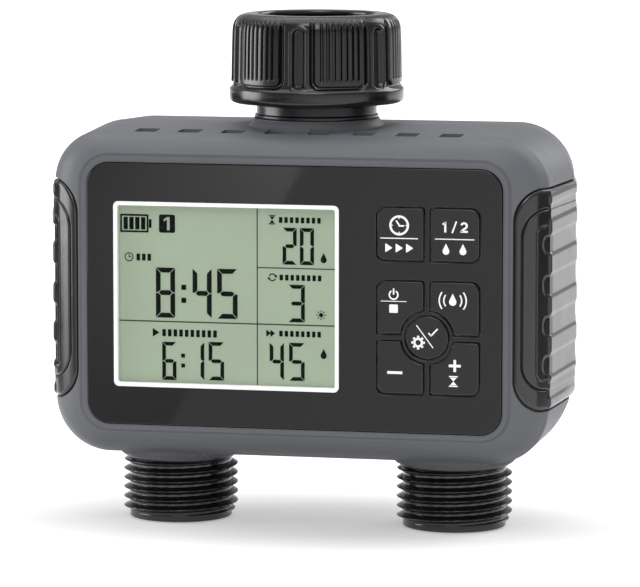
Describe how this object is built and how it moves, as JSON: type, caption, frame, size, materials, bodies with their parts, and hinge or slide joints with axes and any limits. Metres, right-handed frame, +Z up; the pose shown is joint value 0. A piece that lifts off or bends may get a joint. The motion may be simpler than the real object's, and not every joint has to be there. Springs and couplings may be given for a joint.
{
  "type": "drip irrigation timer",
  "caption": "Battery irrigation timer with a swivel hose inlet nut, a display and keys, and two separately valved threaded hose outlets.",
  "frame": {"origin": "on the plane of the outlets' lower ends, midway between the two outlet axes; the inlet axis passes through it", "axes": "+X to the right seen from the front, +Y from the display towards the battery cover, +Z up along the inlet axis"},
  "size_m": [0.1212, 0.0504, 0.1188],
  "materials": {
    "housing": "fine moulded texture, mid grey",
    "panel": "smooth glossy charcoal",
    "key_plastic": "smooth charcoal keys",
    "lcd_white": "white printed frame",
    "window": "clear acrylic window",
    "lcd": "reflective display glass",
    "grip_rubber": "satin black grip",
    "black_plastic": "glossy black",
    "nut_plastic": "satin black",
    "natural_plastic": "natural white plastic",
    "seal": "soft black rubber",
    "steel": "plain steel",
    "copper": "enamelled copper wire",
    "board": "green solder mask",
    "component": "dark moulded components",
    "strip": "layered contact strip",
    "cell_jacket": "shrink jacket",
    "wire": "insulated wire"
  },
  "bodies": {
    "housing": {"front_shell": "housing", "rear_shell": "housing", "front_panel": "panel", "lcd_frame": "lcd_white", "display_window": "window", "lcd_glass": "lcd", "lcd_holder": "natural_plastic", "contact_strip": "strip", "circuit_board": "board", "board_components": "component", "tact_switches": "component", "key_carrier": "natural_plastic", "board_screws": "steel", "case_screws": "steel", "housing_gasket": "seal", "left_grip": "grip_rubber", "right_grip": "grip_rubber", "manifold_body": "black_plastic", "inlet_tailpiece": "black_plastic", "tailpiece_oring": "seal", "inlet_washer": "seal", "filter_screen": "steel", "outlet_fitting_left": "black_plastic", "outlet_fitting_right": "black_plastic", "outlet_orings": "seal", "bonnet_left": "natural_plastic", "bonnet_right": "natural_plastic", "diaphragm_left": "seal", "diaphragm_right": "seal", "core_tube_left": "steel", "core_tube_right": "steel", "coil_bobbins": "natural_plastic", "coil_windings": "copper", "coil_yokes": "steel", "coil_nuts": "steel", "solenoid_leads": "wire", "battery_tray": "component", "battery_contacts": "steel", "battery_leads": "wire", "batteries": "cell_jacket", "plunger_spring_left": "steel", "plunger_spring_right": "steel"},
    "nut": {"inlet_nut": "nut_plastic"},
    "cover": {"battery_door": "housing", "door_gasket": "seal", "door_latch": "housing"},
    "key_clock": {"key_clock": "key_plastic"},
    "key_zone": {"key_zone": "key_plastic"},
    "key_escape": {"key_escape": "key_plastic"},
    "key_manual": {"key_manual": "key_plastic"},
    "key_set": {"key_set": "key_plastic"},
    "key_minus": {"key_minus": "key_plastic"},
    "key_plus": {"key_plus": "key_plastic"},
    "plunger_left": {"plunger_left": "steel"},
    "disc_left": {"valve_disc_left": "natural_plastic"},
    "plunger_right": {"plunger_right": "steel"},
    "disc_right": {"valve_disc_right": "natural_plastic"}
  },
  "joints": [
    {"name": "nut_turn", "type": "hinge", "parent": "housing", "child": "nut", "pos_m": [0, 0, 0.1], "axis": [0, 0, 1], "continuous": true},
    {"name": "key_clock_press", "type": "slide", "parent": "housing", "child": "key_clock", "axis": [0, 1, 0], "range_m": [0, 0.0005], "stiffness_N_per_m": 400, "springref_m": -0.0005},
    {"name": "key_zone_press", "type": "slide", "parent": "housing", "child": "key_zone", "axis": [0, 1, 0], "range_m": [0, 0.0005], "stiffness_N_per_m": 400, "springref_m": -0.0005},
    {"name": "key_escape_press", "type": "slide", "parent": "housing", "child": "key_escape", "axis": [0, 1, 0], "range_m": [0, 0.0005], "stiffness_N_per_m": 400, "springref_m": -0.0005},
    {"name": "key_manual_press", "type": "slide", "parent": "housing", "child": "key_manual", "axis": [0, 1, 0], "range_m": [0, 0.0005], "stiffness_N_per_m": 400, "springref_m": -0.0005},
    {"name": "key_set_press", "type": "slide", "parent": "housing", "child": "key_set", "axis": [0, 1, 0], "range_m": [0, 0.0005], "stiffness_N_per_m": 400, "springref_m": -0.0005},
    {"name": "key_minus_press", "type": "slide", "parent": "housing", "child": "key_minus", "axis": [0, 1, 0], "range_m": [0, 0.0005], "stiffness_N_per_m": 400, "springref_m": -0.0005},
    {"name": "key_plus_press", "type": "slide", "parent": "housing", "child": "key_plus", "axis": [0, 1, 0], "range_m": [0, 0.0005], "stiffness_N_per_m": 400, "springref_m": -0.0005},
    {"name": "plunger_left_lift", "type": "slide", "parent": "housing", "child": "plunger_left", "axis": [0, 0, 1], "range_m": [0, 0.0018], "stiffness_N_per_m": 150, "springref_m": -0.002, "deforming": ["plunger_spring_left"]},
    {"name": "disc_left_lift", "type": "slide", "parent": "housing", "child": "disc_left", "axis": [0, 0, 1], "range_m": [0, 0.0015], "deforming": ["diaphragm_left"]},
    {"name": "plunger_right_lift", "type": "slide", "parent": "housing", "child": "plunger_right", "axis": [0, 0, 1], "range_m": [0, 0.0018], "stiffness_N_per_m": 150, "springref_m": -0.002, "deforming": ["plunger_spring_right"]},
    {"name": "disc_right_lift", "type": "slide", "parent": "housing", "child": "disc_right", "axis": [0, 0, 1], "range_m": [0, 0.0015], "deforming": ["diaphragm_right"]},
    {"name": "cover_pull", "type": "slide", "parent": "housing", "child": "cover", "axis": [0, 1, 0], "range_m": [0, 0.04]}
  ],
  "couplings": [
    {"joint": "disc_left_lift", "follows": "plunger_left_lift", "ratio": 0.83333},
    {"joint": "disc_right_lift", "follows": "plunger_right_lift", "ratio": 0.83333}
  ]
}
